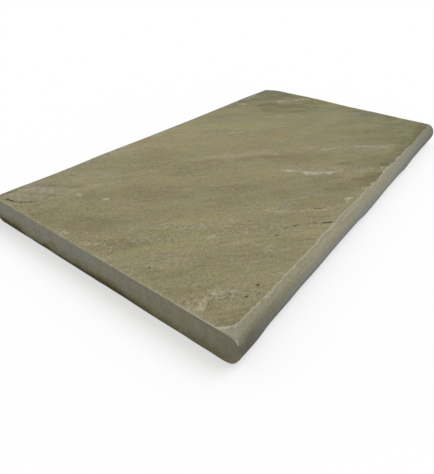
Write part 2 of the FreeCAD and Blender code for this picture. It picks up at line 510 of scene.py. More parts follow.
@dataclass
class RivenTop:
    """The split face of the stone: a slow wave, layers left standing, ripples, pits and clefts.

    A flake or a ledge is its middle in plan, its length and its width.
    """

    ceiling: float
    relief: float = 0.9
    lamina: float = 0.6
    trend_deg: float = -41.0
    broad_wave: float = 230.0
    narrow_wave: float = 104.0
    long_wave: float = 390.0
    broad_share: float = 0.5
    narrow_share: float = 0.3
    ripple: float = 0.20
    broken_ripple: float = 0.35
    scarp: float = 0.18
    pit_depth: float = 1.0
    raggedness: float = 0.22
    broken_edge: float = 1.1
    fine_bend: float = 1.4
    broad_bend: float = 6.0
    fray: float = 18.0
    flake: tuple[float, float, float, float] = (-270.0, 133.0, 52.0, 38.0)
    ledges: tuple[tuple[float, float, float, float], ...] = (
        (0.0, -84.0, 92.0, 11.0),
        (118.0, -102.0, 92.0, 11.0),
    )
    ripple_noise: SmoothNoise = field(default_factory=lambda: SmoothNoise(11))
    edge_noise: SmoothNoise = field(default_factory=lambda: SmoothNoise(23))

    def bands(self, x: Array, y: Array) -> tuple[Array, Array]:
        """Distances along and across the bedding bands of places in plan."""
        trend = math.radians(self.trend_deg)
        along = x * math.cos(trend) + y * math.sin(trend)
        across = y * math.cos(trend) - x * math.sin(trend)
        return along, across

    def wave(self, x: Array, y: Array) -> Array:
        """Height of the bedding plane: a broad and a narrow wave across the bands, a long one along.

        Args:
            x: places along the length.
            y: places across it.

        Returns:
            Heights above the bed.
        """
        along, across = self.bands(x, y)
        broad = np.sin(math.tau * across / self.broad_wave + along / self.long_wave)
        narrow = np.sin(math.tau * across / self.narrow_wave - 2.0 * along / self.long_wave)
        drift = np.cos(math.tau * along / self.long_wave)
        drift_share = 1.0 - self.broad_share - self.narrow_share
        swing = self.broad_share * broad + self.narrow_share * narrow + drift_share * drift
        return self.ceiling - self.lamina - self.relief * (1.0 - swing) / 2.0

    def standing(self, x: Array, y: Array) -> Array:
        """Share of the next layer left standing: ragged ovals whose length lies along the bands.

        Args:
            x: places along the length.
            y: places across it.

        Returns:
            1 on a remnant, easing to 0 over its broken edge.
        """
        rag = self.raggedness * self.edge_noise.layered(x / 16.0, y / 16.0, 3)
        share = np.zeros(np.broadcast(x, y).shape)
        for centre_x, centre_y, length, width in (self.flake, *self.ledges):
            along, across = self.bands(x - centre_x, y - centre_y)
            radius = np.hypot(along / (length / 2.0), across / (width / 2.0)) + rag
            edge = self.broken_edge / (width / 2.0)
            share = np.maximum(share, smooth_step(1.0 + edge, 1.0 - edge, radius))
        return share

    def scarps(self, x: Array, y: Array) -> Array:
        """Low steps between layers: a slow noise cut into levels, with a short ease at each step.

        Args:
            x: places along the length.
            y: places across it.

        Returns:
            Level of each place, in steps of 1.
        """
        along, across = self.bands(x, y)
        slow = 2.2 * self.ripple_noise.layered(along / 120.0 + 9.0, across / 42.0 + 4.0, 4)
        return np.floor(slow) + smooth_step(0.82, 1.0, slow - np.floor(slow))

    def marks(self, x: Array, y: Array) -> dict[Mark, Array]:
        """Strength of each kind of mark, with the strokes bent by noise so that no edge is ruled.

        The broad strokes are also slipped along the bands by a noise that changes quickly across
        them, so that their ends fray into streaks.

        Args:
            x: places along the length.
            y: places across it.

        Returns:
            One array for each kind. Strokes of one kind add up.
        """
        slow, quick = (x / 34.0, y / 34.0), (x / 10.0, y / 10.0)
        noise = self.edge_noise
        slow_x = noise.at(slow[0] + 3.0, slow[1])
        slow_y = noise.at(slow[0], slow[1] + 7.0)
        quick_x = noise.layered(quick[0] + 40.0, quick[1], 2)
        quick_y = noise.layered(quick[0], quick[1] + 60.0, 2)
        fine_x = x + self.fine_bend * quick_x
        fine_y = y + self.fine_bend * quick_y
        along, across = self.bands(x, y)
        slip = self.fray * noise.layered(along / 80.0, across / 5.0, 2)
        trend = math.radians(self.trend_deg)
        soft_x = fine_x + self.broad_bend * slow_x + slip * math.cos(trend)
        soft_y = fine_y + self.broad_bend * slow_y + slip * math.sin(trend)
        totals = {kind: np.zeros(np.broadcast(x, y).shape) for kind in Mark}
        for streak in TOP_MARKS:
            fine = streak.kind in (Mark.PALE, Mark.DARK)
            cover = streak.cover(fine_x, fine_y) if fine else streak.cover(soft_x, soft_y)
            totals[streak.kind] += streak.strength * cover
        return totals

    def height(self, x: Array, y: Array, marks: dict[Mark, Array]) -> Array:
        """Height of the face: the wave, plus what stands on it and its ripples, less its pits.

        Args:
            x: places along the length.
            y: places across it.
            marks: strength of the marks at these places.

        Returns:
            Heights above the bed.
        """
        along, across = self.bands(x, y)
        ripples = self.ripple_noise.layered(along / 46.0, across / 17.0, 4)
        broken = self.edge_noise.layered(along / 7.0, across / 4.5, 2)
        rough = np.clip(marks[Mark.ROUGH], 0.0, 1.0)
        face = self.wave(x, y) + self.lamina * self.standing(x, y)
        face += self.ripple * ripples + self.broken_ripple * rough * broken
        face += self.scarp * (self.scarps(x, y) + 0.5)
        return face - self.pit_depth * np.clip(marks[Mark.DARK], 0.0, 1.0)


@dataclass(frozen=True)
class SectionLoop:
    """Points round the section: the top, the far nose, the bed and the near nose, in that order.

    y and z are places, out_y and out_z the way out of the stone.
    """

    y: Array
    z: Array
    out_y: Array
    out_z: Array
    top_count: int
    nose_count: int
    bed_count: int

    @property
    def count(self) -> int:
        """Number of points round the loop."""
        return len(self.y)


# How dark the near nose is painted at stations along the length, over its middle and below it:
# soiling, and painted shade on its lower half
NEAR_GRIME_AND_SHADE: tuple[tuple[float, float, float], ...] = (
    (-300, 0.18, 0.62), (-288, 0.16, 0.76), (-275, 0.14, 0.64), (-225, 0.06, 0.30),
    (-170, 0.0, 0.08), (-120, 0.0, 0.0), (60, 0.0, 0.0), (100, 0.10, 0.10),
    (150, 0.20, 0.22), (200, 0.28, 0.32), (245, 0.36, 0.44), (300, 0.42, 0.52),
)

# How far the near nose's ground face reaches up past its true border, at stations along the length
NEAR_BORDER: tuple[Station, ...] = (
    (-300, -0.40), (-280, -0.40), (-250, -0.20), (-220, 0.0), (-190, -0.10), (-160, 0.0),
    (-130, -0.15), (-100, -0.15), (-70, 0.0), (-10, 0.10), (20, 0.55), (50, 0.55), (80, 0.42),
    (110, 0.20), (140, 0.15), (170, 0.25), (200, 0.20), (230, 0.10), (260, -0.15), (300, -0.30),
)

# How much darker the riven face is just inside each nose at stations along the length
NEAR_FRINGE: tuple[Station, ...] = (
    (-300, 0.0), (-20, 0.0), (20, 0.80), (120, 0.76), (200, 0.76), (300, 0.72),
)
FAR_FRINGE: tuple[Station, ...] = (
    (-300, 0.0), (80, 0.0), (160, 0.45), (230, 0.90), (300, 0.90),
)

# How far the near nose swells below its middle at stations along the length
NEAR_SWELL: tuple[Station, ...] = (
    (-300, 0.7), (-276, 1.0), (-250, -0.2), (-222, -0.2), (-195, -0.6), (-160, -0.3), (-120, -0.7),
    (-100, -0.8), (-80, -0.6), (-52, -0.4), (-25, 0.9), (0, 0.9), (60, 0.0), (110, 0.2),
    (140, 1.3), (180, -0.1), (240, 0.0), (285, 0.5), (300, 0.3),
)

# How far the far nose swells over its shoulder at stations along the length
FAR_SWELL: tuple[Station, ...] = (
    (-300, 0.7), (-270, 0.8), (-245, 0.2), (-215, 0.0), (-185, 0.1), (-150, 0.8), (-115, 0.7),
    (-85, 0.3), (-55, 0.1), (40, 0.1), (95, 0.4), (150, 0.9), (210, 1.4), (250, 1.0), (300, 0.6),
)


@dataclass
class CopingStone:
    """The stone's skin: its bullnose section carried along the length and closed at both ends.

    The first end is at -X and the near nose at -Y. Their corner is rubbed, the one opposite is
    knocked off and the other two are crisp. A facing is a share from 0 to 1.
    """

    length: float
    width: float
    nose_radius: float = 15.5
    arris_radius: float = 0.6
    chip_depth: float = 0.7
    notch_depth: float = 1.2
    arris_band: tuple[float, float] = (3.6, 1.6)
    corner_radius: float = 3.0
    rubbed_corner_radius: float = 5.0
    worn_corner_radius: float = 36.0
    worn_arris: float = 3.0
    knock_margin: float = 10.0
    corner_turn: float = 18.0
    turn_from_end: float = 0.8
    turn_past_flat: float = 3.0
    corner_fullness: float = 1.6
    # Painted shade on the far nose, with more over its shoulder towards the second end
    far_grime_and_shade: float = 0.35
    shoulder_grime_and_shade: float = 0.6
    end_lift: float = 1.15
    end_rise: float = 100.0
    near_lift: float = 0.5
    rubbed_swell: float = 1.0
    crisp_swell: float = 2.0
    least_facing: float = 0.05
    hand_wander: float = 0.25
    softness: float = 0.1
    border_reach: float = 3.0
    crest_spread: float = 0.45
    fringe_reach: float = 15.0
    marked_facing: float = 0.75
    body_rows: int = 335
    arris_rows: int = 5
    top_points: int = 200
    nose_points: int = 25
    bed_points: int = 33
    cap_ring: float = 0.5
    noise: SmoothNoise = field(default_factory=lambda: SmoothNoise(5))

    def __post_init__(self) -> None:
        """Makes the riven face that this section is cut by."""
        self.top = RivenTop(ceiling=2.0 * self.nose_radius)

    def section(self) -> SectionLoop:
        """The ground section: two flats joined by half rounds.

        A round's point at angle a is the round's centre plus the radius times (cos a, sin a).

        Returns:
            The loop's points and outward ways.
        """
        flat = self.width / 2.0 - self.nose_radius
        radius = self.nose_radius
        across = np.linspace(-flat, flat, self.top_points)
        angle = np.linspace(math.pi / 2.0, -math.pi / 2.0, self.nose_points + 2)[1:-1]
        below = np.linspace(flat, -flat, self.bed_points)
        level_top = np.zeros(self.top_points)
        level_bed = np.zeros(self.bed_points)
        out_y = np.concatenate([level_top, np.cos(angle), level_bed, -np.cos(angle[::-1])])
        out_z = np.concatenate(
            [level_top + 1.0, np.sin(angle), level_bed - 1.0, np.sin(angle[::-1])]
        )
        flat_y = np.concatenate(
            [across, np.full(self.nose_points, flat), below, np.full(self.nose_points, -flat)]
        )
        return SectionLoop(
            y=flat_y + radius * out_y,
            z=radius + radius * out_z,
            out_y=out_y,
            out_z=out_z,
            top_count=self.top_points,
            nose_count=self.nose_points,
            bed_count=self.bed_points,
        )

    def row_shares(self) -> tuple[Array, Array, Array, Array]:
        """Where each row of the skin lies between the ends.

        Rows start with a ring on the sawn face, turn over the arris by a quarter circle, run
        along the body and turn down again.

        Returns:
            Share of the way along, share of the arris radius in from the end (1 - cos t), share
            of it in from the section (1 - sin t), and the ring's own step in from the section.
        """
        turn = np.linspace(0.0, math.pi / 2.0, self.arris_rows)
        body = np.linspace(0.0, 1.0, self.body_rows + 2)[1:-1]
        one = np.ones(1)
        none = np.zeros(self.arris_rows)
        inward, downward = 1.0 - np.cos(turn), 1.0 - np.sin(turn)
        along = np.concatenate([0.0 * one, none, body, none + 1.0, one])
        from_end = np.concatenate([0.0 * one, inward, 0.0 * body + 1.0, inward[::-1], 0.0 * one])
        from_section = np.concatenate([one, downward, 0.0 * body, downward[::-1], one])
        ring = np.concatenate([one, none, 0.0 * body, none, one]) * self.cap_ring
        return along, from_end, from_section, ring

    def corner_facing(self, y: Array, radius: Array) -> Array:
        """How squarely a plan corner faces along the stone: 1 on the end, 0 at the nose."""
        into = np.clip((np.abs(y) - self.width / 2.0) / radius + 1.0, 0.0, 1.0)
        return np.sqrt(1.0 - into**2)

    def arris(self, loop: SectionLoop, seed_shift: float, corner_swell: float) -> Array:
        """Radius of the arris round an end: fine, chipped here and there, worn at the near corner.

        Args:
            loop: the section.
            seed_shift: moves the noise, so that the two ends differ.
            corner_swell: extra radius where the near nose turns into the end.

        Returns:
            Radius at each point of the loop.
        """
        flat = self.width / 2.0 - self.nose_radius
        lower = smooth_step(0.1, -0.9, loop.out_z)
        chips = self.noise.layered(loop.y / 13.0 + seed_shift, 0.0 * loop.y, 3)
        notches = self.noise.layered(loop.y / 24.0 + seed_shift, 0.0 * loop.y + 7.5, 2)
        edge = smooth_step(flat - 14.0, flat + 6.0, -loop.y)
        return (
            self.arris_radius * (1.0 - 0.5 * lower)
            + self.chip_depth * np.clip(chips - 0.3, 0.0, 1.0)
            + self.notch_depth * lower * np.clip(notches - 0.1, 0.0, 1.0)
            + corner_swell * edge * (1.0 - 0.75 * lower)
        )

    def nose_wander(self, x: Array, loop: SectionLoop) -> Array:
        """How far hand grinding leaves the noses outside the true section.

        Slow noise along both noses, plus the near nose's swell, which is strongest half way down
        its lower half and nothing at the bed, and its full shoulder by the first end.

        Args:
            x: places along the length, by row and loop.
            loop: the section.

        Returns:
            Distances outwards.
        """
        slow = self.noise.layered(x / 85.0, np.sign(loop.out_y) * 5.0 + loop.out_z * 0.8, 3)
        stations, swells = np.array(NEAR_SWELL).T
        number = np.interp(x, stations, np.arange(len(stations)))
        step = np.clip(np.floor(number).astype(int), 0, len(stations) - 2)
        near = swells[step] + (swells[step + 1] - swells[step]) * smooth_step(0.0, 1.0, number - step)
        below = smooth_step(0.35, -0.5, loop.out_z) * smooth_step(-1.0, -0.8, loop.out_z)
        hand = self.hand_wander * slow * np.abs(loop.out_y) * smooth_step(-1.05, -0.5, loop.out_z)
        shoulder = smooth_step(0.1, 0.6, loop.out_z) * smooth_step(1.0, 0.85, loop.out_z)
        full = self.corner_fullness * smooth_step(-255.0, -297.0, x) * shoulder
        return hand + (near * below + full) * (loop.out_y < 0.0)

    def far_swell(self, x: Array, loop: SectionLoop) -> Array:
        """How far the far nose stands outside the true section over its shoulder."""
        stations, swells = np.array(FAR_SWELL).T
        shoulder = smooth_step(0.1, 0.6, loop.out_z) * (loop.out_y > 0.0)
        return np.interp(x, stations, swells) * shoulder

    def nose_grime_and_shade(self, x: Array, loop: SectionLoop) -> Array:
        """How dark the noses are painted, as soiling and painted shade: the near one from stations
        along it, eased from above to below.

        The far one, turned from the light, is painted evenly darker as painted shade, and more over
        its shoulder towards the second end.

        Args:
            x: places along the length, by row and loop.
            loop: the section.

        Returns:
            Shares from 0 to 1.
        """
        stations, above, below = np.array(NEAR_GRIME_AND_SHADE).T
        lower = smooth_step(0.97, 0.5, loop.out_z)
        upper_share = np.interp(x, stations, above)
        lower_share = np.interp(x, stations, below)
        near = upper_share + (lower_share - upper_share) * lower
        shoulder = self.shoulder_grime_and_shade * smooth_step(0.2, 0.65, loop.out_z)
        shoulder = shoulder * smooth_step(20.0, 200.0, x)
        far = (self.far_grime_and_shade + shoulder) * smooth_step(1.0, 0.9, loop.out_z)
        return np.where(loop.out_y < 0.0, near, far)

    def fringe(self, x: Array, y: Array) -> Array:
        """How much darker the riven face is by the noses, from stations along them."""
        flat = self.width / 2.0 - self.nose_radius
        close = smooth_step(flat - self.fringe_reach, flat - 1.0, np.abs(y))
        near, far = (np.interp(x, *np.array(table).T) for table in (NEAR_FRINGE, FAR_FRINGE))
        return np.where(y < 0.0, near, far) * close

    def ground_share(self, x: Array, y: Array, over: Array, on_top: Array) -> Array:
        """How far each place lies on the ground round side of its border with the riven face.

        The border is where the riven face rises through the ground section, kept to the noses and
        moved on the near one by its stations. At the near corner of the first end it also turns
        in along the end, as a round-cornered rectangle does.

        Args:
            x: places along the length.
            y: places across it.
            over: height of the riven face over the ground section.
            on_top: whether a place is on the upper half of the section.

        Returns:
            Millimetres past the border, below 0 on the riven face.
        """
        flat = self.width / 2.0 - self.nose_radius
        border = over - self.border_reach * smooth_step(flat - 2.0, flat - 14.0, np.abs(y))
        border = border + np.interp(x, *np.array(NEAR_BORDER).T) * (y < 0.0)
        from_end = self.length / 2.0 - self.turn_from_end - self.corner_turn
        from_middle = flat + self.turn_past_flat - self.corner_turn
        round_x = np.maximum(-x - from_end, 0.0)
        round_y = np.maximum(-y - from_middle, 0.0)
        turned = np.hypot(round_x, round_y) - self.corner_turn
        turned = np.minimum(turned, self.crest_spread * turned)
        border = np.where((x < 0.0) & (y < -100.0), np.maximum(border, turned), border)
        reach = self.border_reach
        return np.where(on_top, np.clip(border, -reach, reach), reach)

    def skin(self) -> tuple[Array, dict[str, Array]]:
        """Works out the skin's points row by row, and the marks that its material reads.

        A point is the section's point, moved in by the arris and set along the length. Points of
        the top and of the upper rounds are then lowered to the riven face where it lies below the
        ground section, by the soft least of the two heights.

        Returns:
            Points as an array of rows, loop and xyz in millimetres, and the mesh attributes.
        """
        loop = self.section()
        along, from_end, from_section, ring = (share[:, None] for share in self.row_shares())
        half = self.length / 2.0
        half_width = self.width / 2.0
        start_corner = np.where(loop.y > 0.0, self.corner_radius, self.rubbed_corner_radius)
        stop_corner = np.where(loop.y > 0.0, self.worn_corner_radius, self.corner_radius)
        start_facing = self.corner_facing(loop.y, start_corner)
        stop_facing = self.corner_facing(loop.y, stop_corner)
        knock_start = half_width - self.worn_corner_radius
        knocked = smooth_step(knock_start, half_width - self.knock_margin, loop.y)
        start_arris = self.arris(loop, 0.0, self.rubbed_swell)
        start_arris = start_arris * np.maximum(start_facing, self.least_facing)
        stop_arris = self.arris(loop, 40.0, self.crisp_swell) + self.worn_arris * knocked
        stop_arris = stop_arris * np.maximum(stop_facing, self.least_facing)
        start = -half + start_corner * (1.0 - start_facing) + start_arris * from_end
        stop = half - stop_corner * (1.0 - stop_facing) - stop_arris * from_end
        x = (1.0 - along) * start + along * stop
        facing = (1.0 - along) * start_facing + along * stop_facing
        ring = ring * np.maximum(facing, self.least_facing)
        inset = from_section * ((1.0 - along) * start_arris + along * stop_arris) + ring
        far_swell = self.far_swell(x, loop)
        swell = self.nose_wander(x, loop) + far_swell
        y = loop.y + (swell - inset) * loop.out_y
        section_y = np.broadcast_to(loop.y, x.shape)
        marks = self.top.marks(x, section_y)
        marks[Mark.TONE] -= self.fringe(x, section_y)
        on_top = loop.out_z > 0.0
        split = self.top.height(x, section_y, marks)
        lift = self.end_lift * smooth_step(self.end_rise - half, -half, x)
        riven = split + lift * (1.0 + self.near_lift * smooth_step(60.0, -120.0, section_y))
        ground_z = loop.z + swell * loop.out_z
        soft = self.softness
        lowered = -soft * np.logaddexp(-ground_z / soft, -riven / soft)
        z = np.where(on_top, lowered, ground_z) - inset * loop.out_z
        points = np.stack([x, y, z], axis=-1)
        marked = loop.out_z > self.marked_facing
        attributes = {kind.value: marks[kind] * marked for kind in Mark}
        for chip in ARRIS_CHIPS:
            attributes[Mark.PALE.value] += chip.cover(points)
        over = split - ground_z + far_swell * loop.out_z
        attributes["ground"] = self.ground_share(x, section_y, over, on_top)
        # Soiling and painted shade on the noses
        attributes["grime_and_shade"] = self.nose_grime_and_shade(x, loop)
        attributes["standing"] = self.top.standing(x, section_y) * marked
        # Nearness to an end, for the pale rim and its painted highlight on the top arris
        attributes["arris"] = smooth_step(*self.arris_band, half - np.abs(x))
        sawn = np.clip((from_section - 0.2) / 0.4, 0.0, 1.0)
        attributes["sawn"] = sawn * (1.0 - 0.9 * along * knocked)
        return points, attributes

    def side_faces(self, rows: int, count: int) -> Array:
        """Four-sided faces between neighbouring rows, closed round the loop, facing outwards."""
        row = np.arange(rows - 1)[:, None] * count
        here = np.arange(count)[None, :]
        after = (here + 1) % count
        corners = [row + count + here, row + count + after, row + after, row + here]
        return np.stack(corners, axis=-1).reshape(-1, 4)

    def cap_faces(self, loop: SectionLoop) -> tuple[Array, Array]:
        """Faces that close one end inside its ring, as loop numbers that turn the loop's own way.

        Points of a nose at equal height over and under its middle are joined crosswise, and the
        many points of the top are fanned to the few of the bed.

        Returns:
            Faces with four corners and faces with three.
        """
        top, nose, bed = loop.top_count, loop.nose_count, loop.bed_count
        half = nose // 2
        first_bed = top + nose
        last_bed = first_bed + bed - 1
        far, far_below = top + np.arange(half), first_bed - 1 - np.arange(half)
        near, near_above = last_bed + 1 + np.arange(half), loop.count - 1 - np.arange(half)
        quads = np.concatenate(
            [
                np.stack([far[:-1], far[1:], far_below[1:], far_below[:-1]], axis=-1),
                np.stack([near[:-1], near[1:], near_above[1:], near_above[:-1]], axis=-1),
                [[top - 1, far[0], far_below[0], first_bed]],
                [[last_bed, near[0], near_above[0], 0]],
            ]
        )
        tips = [
            [far[-1], top + half, far_below[-1]],
            [near[-1], last_bed + 1 + half, near_above[-1]],
        ]
        below = last_bed - np.round(np.arange(top) * (bed - 1) / (top - 1)).astype(int)
        step = np.arange(top - 1)
        fans = np.stack([step, step + 1, below[:-1]], axis=-1)
        change = step[below[:-1] != below[1:]]
        stitches = np.stack([change + 1, below[change + 1], below[change]], axis=-1)
        return quads, np.concatenate([tips, fans, stitches])

    def build(self) -> bpy.types.Object:
        """Makes the skin's mesh, with its attributes, as a piece in the frame.

        Returns:
            The new object, linked to the scene.
        """
        points, attributes = self.skin()
        rows, count = points.shape[:2]
        quads, triangles = self.cap_faces(self.section())
        last = (rows - 1) * count
        four = np.concatenate([self.side_faces(rows, count), quads, quads[:, ::-1] + last])
        three = np.concatenate([triangles, triangles[:, ::-1] + last])
        corners = np.concatenate([four.ravel(), three.ravel()])
        starts = np.concatenate(
            [np.arange(len(four)) * 4, 4 * len(four) + np.arange(len(three)) * 3]
        )
        mesh = bpy.data.meshes.new(NODE + "_skin")
        mesh.vertices.add(rows * count)
        mesh.vertices.foreach_set("co", (points * MM).astype(np.float32).ravel())
        mesh.loops.add(len(corners))
        mesh.loops.foreach_set("vertex_index", corners.astype(np.int32))
        mesh.polygons.add(len(starts))
        mesh.polygons.foreach_set("loop_start", starts.astype(np.int32))
        mesh.polygons.foreach_set("use_smooth", np.ones(len(starts), dtype=bool))
        for name, values in attributes.items():
            attribute = mesh.attributes.new(name, "FLOAT", "POINT")
            attribute.data.foreach_set("value", values.astype(np.float32).ravel())
        mesh.update(calc_edges=True)
        mesh.validate()
        piece = bpy.data.objects.new(NODE + "_skin", mesh)
        bpy.context.scene.collection.objects.link(piece)
        log.info("stone skin: %d points, %d triangles", rows * count, 2 * len(four) + len(three))
        return piece


class NodeSheet:
    """A node tree with short calls for the nodes that the finishes are made of."""

    def __init__(self, tree: bpy.types.NodeTree) -> None:
        """Holds the tree and empties it."""
        self.tree = tree
        tree.nodes.clear()

    def feed(self, socket: Socket, value: Value | Shade) -> None:
        """Links another node's output to a socket, or sets the socket's own value."""
        if isinstance(value, bpy.types.NodeSocket):
            self.tree.links.new(value, socket)
        else:
            socket.default_value = value

    def add(
        self, kind: str, inputs: dict[str | int, Value | Shade] | None = None, **settings: object
    ) -> bpy.types.Node:
        """Adds a node.

        Args:
            kind: the node's Blender type.
            inputs: socket name or number to a value, or to another node's output.
            **settings: the node's own properties.

        Returns:
            The new node.
        """
        node = self.tree.nodes.new(kind)
        for name, value in settings.items():
            setattr(node, name, value)
        for name, value in (inputs or {}).items():
            self.feed(node.inputs[name], value)
        return node

    def math(self, operation: str, first: Value, second: Value = 0.0, third: Value = 0.0) -> Socket:
        """Output of a Math node over values or sockets."""
        node = self.add("ShaderNodeMath", {0: first, 1: second, 2: third}, operation=operation)
        return node.outputs[0]

    def share(self, value: Value, scale: float = 1.0) -> Socket:
        """A value times a scale, kept from 0 to 1."""
        node = self.add("ShaderNodeMath", {0: value, 1: scale}, operation="MULTIPLY", use_clamp=True)
        return node.outputs[0]

    def ease(self, value: Value, low: float, high: float) -> Socket:
        """Output of a Map Range node that eases from 0 at low to 1 at high."""
        node = self.add(
            "ShaderNodeMapRange",
            {"Value": value, "From Min": low, "From Max": high},
            interpolation_type="SMOOTHSTEP",
        )
        return node.outputs["Result"]

    def mix(self, share: Value, first: Shade, second: Shade, blend: str = "MIX") -> Socket:
        """Colour output of a Mix node from the first colour to the second."""
        node = self.add("ShaderNodeMix", data_type="RGBA", blend_type=blend)
        for number, value in ((0, share), (6, first), (7, second)):
            self.feed(node.inputs[number], value)
        return node.outputs[2]

    def noise(self, vector: Socket, scale: float, detail: float, roughness: float = 0.5) -> Socket:
        """A Noise Texture's value, moved to lie about 0."""
        node = self.add(
            "ShaderNodeTexNoise",
            {"Vector": vector, "Scale": scale, "Detail": detail, "Roughness": roughness},
        )
        return self.math("SUBTRACT", node.outputs["Fac"], 0.5)

    def stretched(self, vector: Socket, scale: tuple[float, float, float], detail: float) -> Socket:
        """A noise about 0 whose features differ in size along the three axes."""
        placed = self.add("ShaderNodeMapping", {"Vector": vector, "Scale": scale})
        return self.noise(placed.outputs["Vector"], 1.0, detail, 0.55)

    def attribute(self, name: str) -> Socket:
        """Value of a mesh attribute."""
        return self.add("ShaderNodeAttribute", attribute_name=name).outputs["Fac"]


def effect_group(name: str, outputs: tuple[str, ...]) -> tuple[NodeSheet, Socket, bpy.types.Node]:
    """Starts a shared effect: a node group with a Vector input in metres and value outputs.

    Args:
        name: the group's name.
        outputs: names of the values that it puts out.

    Returns:
        The sheet to build it on, its vector and its output node.
    """
    tree = bpy.data.node_groups.new(name, "ShaderNodeTree")
    sheet = NodeSheet(tree)
    tree.interface.new_socket("Vector", in_out="INPUT", socket_type="NodeSocketVector")
    for output in outputs:
        tree.interface.new_socket(output, in_out="OUTPUT", socket_type="NodeSocketFloat")
    return sheet, sheet.add("NodeGroupInput").outputs["Vector"], sheet.add("NodeGroupOutput")


def sand_grain_group() -> bpy.types.NodeTree:
    """Shared effect: grains of sand, as a Tone about 0 and as a Height.

    The tone adds noise of about one grain to noise a few grains across. The height takes the
    spacing of cells one grain across off the coarser noise.

    Returns:
        The group.
    """
    sheet, vector, out = effect_group("SandGrain", ("Tone", "Height"))
    fine = sheet.noise(vector, 800.0, 1.0, 0.6)
    clumps = sheet.noise(vector, 300.0, 3.0, 0.7)
    cells = sheet.add("ShaderNodeTexVoronoi", {"Vector": vector, "Scale": 700.0})
    sheet.feed(out.inputs["Tone"], sheet.math("ADD", fine, clumps))
    height = sheet.math("MULTIPLY_ADD", cells.outputs["Distance"], -0.4, clumps)
    sheet.feed(out.inputs["Height"], height)
    return sheet.tree


def bedding_group(trend_deg: float) -> bpy.types.NodeTree:
    """Shared effect: bedding bands, as noises drawn out along their run.

    The place is turned by the trend, then noises are read with the distance across the bands
    scaled several times more than the distance along them. Tone is for lightness, Drift for hue
    and Fibre for the finest streaks of both.

    Args:
        trend_deg: run of the bands in plan, in degrees from +X.

    Returns:
        The group.
    """
    sheet, vector, out = effect_group("BeddingBands", ("Tone", "Drift", "Fibre"))
    turned = sheet.add(
        "ShaderNodeMapping", {"Vector": vector, "Rotation": (0.0, 0.0, -math.radians(trend_deg))}
    ).outputs["Vector"]
    broad = sheet.stretched(turned, (6.0, 26.0, 30.0), 3.0)
    streaky = sheet.stretched(turned, (30.0, 130.0, 120.0), 3.0)
    tone = sheet.math("MULTIPLY_ADD", streaky, 0.6, broad)
    sheet.feed(out.inputs["Tone"], tone)
    sheet.feed(out.inputs["Drift"], sheet.stretched(turned, (14.0, 34.0, 40.0), 3.0))
    sheet.feed(out.inputs["Fibre"], sheet.stretched(turned, (55.0, 330.0, 300.0), 3.0))
    return sheet.tree


